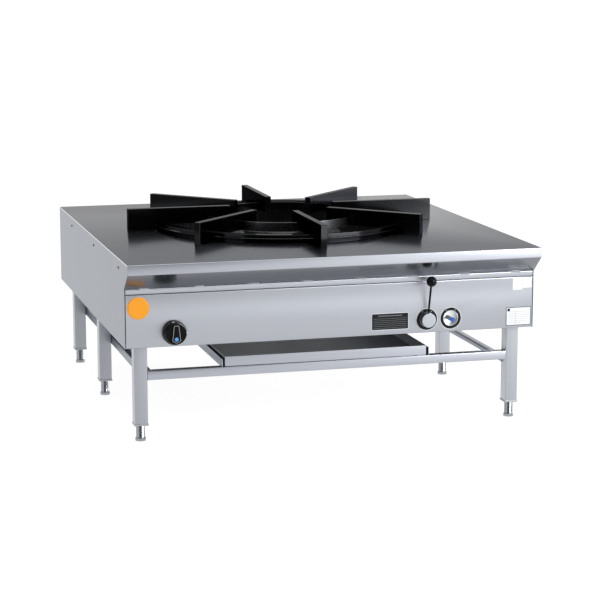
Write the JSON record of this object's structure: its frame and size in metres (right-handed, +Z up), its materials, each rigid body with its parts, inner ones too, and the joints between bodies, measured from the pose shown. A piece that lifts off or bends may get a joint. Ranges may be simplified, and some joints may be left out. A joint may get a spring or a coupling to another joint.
{
  "type": "stockpot stove",
  "caption": "Low stainless stockpot stove with one large burner, black plate trivet, lever gas cock, knob, igniter, drip tray and levelling feet.",
  "frame": {"origin": "on the floor, under the centre of the deck", "axes": "+X to the right seen from the front, +Y to the back, +Z up"},
  "size_m": [1.2024, 1.232, 0.581],
  "materials": {
    "brushed_stainless": "brushed",
    "well_steel": "heat darkened",
    "black_cast_iron": "black enamel",
    "chrome": "polished",
    "screw_steel": "plain",
    "brass": "machined",
    "gas_pipe_steel": "painted",
    "pilot_tube_aluminium": "drawn",
    "black_plastic": "satin",
    "black_rod": "blackened",
    "grey_plastic": "satin",
    "blue_plastic": "glossy",
    "badge_orange": "satin",
    "printed_plate": "printed"
  },
  "bodies": {
    "stove": {"deck": "brushed_stainless", "hook_strip": "brushed_stainless", "control_panel": "brushed_stainless", "left_side_panel": "brushed_stainless", "right_side_panel": "brushed_stainless", "rear_panel": "brushed_stainless", "leg_front_left": "brushed_stainless", "leg_front_right": "brushed_stainless", "leg_middle_left": "brushed_stainless", "leg_middle_right": "brushed_stainless", "leg_rear_left": "brushed_stainless", "leg_rear_right": "brushed_stainless", "front_rail": "brushed_stainless", "rear_rail": "brushed_stainless", "left_side_rail": "brushed_stainless", "right_side_rail": "brushed_stainless", "middle_cross_rail": "brushed_stainless", "tray_runners": "brushed_stainless", "deck_frame": "brushed_stainless", "leg_plugs": "brushed_stainless", "burner_bars": "brushed_stainless", "pilot_burner": "brushed_stainless", "burner_well": "well_steel", "burner_casting": "black_cast_iron", "burner_caps": "black_cast_iron", "igniter_cup": "chrome", "side_screws": "screw_steel", "knob_valve": "brass", "main_gas_cock": "brass", "injector": "brass", "gas_manifold": "gas_pipe_steel", "burner_feed_pipe": "gas_pipe_steel", "pilot_tube": "pilot_tube_aluminium", "igniter_barrel": "grey_plastic", "badge_disc": "badge_orange", "panel_plates": "printed_plate", "panel_labels": "printed_plate"},
    "drip_tray": {"drip_tray": "brushed_stainless"},
    "trivet": {"trivet_arm_1": "black_cast_iron", "trivet_arm_2": "black_cast_iron", "trivet_arm_3": "black_cast_iron", "trivet_arm_4": "black_cast_iron", "trivet_arm_5": "black_cast_iron", "trivet_arm_6": "black_cast_iron", "trivet_arm_7": "black_cast_iron", "trivet_arm_8": "black_cast_iron", "trivet_outer_hoop": "black_cast_iron", "trivet_inner_hoop": "black_cast_iron"},
    "knob_spindle": {"knob_spindle": "screw_steel"},
    "control_knob": {"control_knob": "black_plastic"},
    "lever": {"lever_hub": "chrome", "lever_rod": "black_rod", "lever_ball": "black_plastic"},
    "igniter_button": {"igniter_button": "blue_plastic"},
    "foot_front_left": {"foot_front_left": "chrome"},
    "foot_front_right": {"foot_front_right": "chrome"},
    "foot_middle_left": {"foot_middle_left": "chrome"},
    "foot_middle_right": {"foot_middle_right": "chrome"},
    "foot_rear_left": {"foot_rear_left": "chrome"},
    "foot_rear_right": {"foot_rear_right": "chrome"}
  },
  "joints": [
    {"name": "tray_slide", "type": "slide", "parent": "stove", "child": "drip_tray", "axis": [0, -1, 0], "range_m": [0, 0.5]},
    {"name": "trivet_lift", "type": "slide", "parent": "stove", "child": "trivet", "axis": [0, 0, 1], "range_m": [0, 0.12]},
    {"name": "knob_push", "type": "slide", "parent": "stove", "child": "knob_spindle", "axis": [0, 1, 0], "range_m": [0, 0.005], "stiffness_N_per_m": 600, "springref_m": -0.006},
    {"name": "knob_turn", "type": "hinge", "parent": "knob_spindle", "child": "control_knob", "pos_m": [-0.4615, -0.57, 0.314], "axis": [0, -1, 0], "range_deg": [0, 180]},
    {"name": "lever_turn", "type": "hinge", "parent": "stove", "child": "lever", "pos_m": [0.275, -0.57, 0.313], "axis": [0, -1, 0], "range_deg": [0, 90]},
    {"name": "igniter_push", "type": "slide", "parent": "stove", "child": "igniter_button", "axis": [0, 1, 0], "range_m": [0, 0.006], "stiffness_N_per_m": 900, "springref_m": -0.004},
    {"name": "foot_front_left_screw", "type": "slide", "parent": "stove", "child": "foot_front_left", "axis": [0, 0, -1], "range_m": [0, 0.025]},
    {"name": "foot_front_right_screw", "type": "slide", "parent": "stove", "child": "foot_front_right", "axis": [0, 0, -1], "range_m": [0, 0.025]},
    {"name": "foot_middle_left_screw", "type": "slide", "parent": "stove", "child": "foot_middle_left", "axis": [0, 0, -1], "range_m": [0, 0.025]},
    {"name": "foot_middle_right_screw", "type": "slide", "parent": "stove", "child": "foot_middle_right", "axis": [0, 0, -1], "range_m": [0, 0.025]},
    {"name": "foot_rear_left_screw", "type": "slide", "parent": "stove", "child": "foot_rear_left", "axis": [0, 0, -1], "range_m": [0, 0.025]},
    {"name": "foot_rear_right_screw", "type": "slide", "parent": "stove", "child": "foot_rear_right", "axis": [0, 0, -1], "range_m": [0, 0.025]}
  ]
}
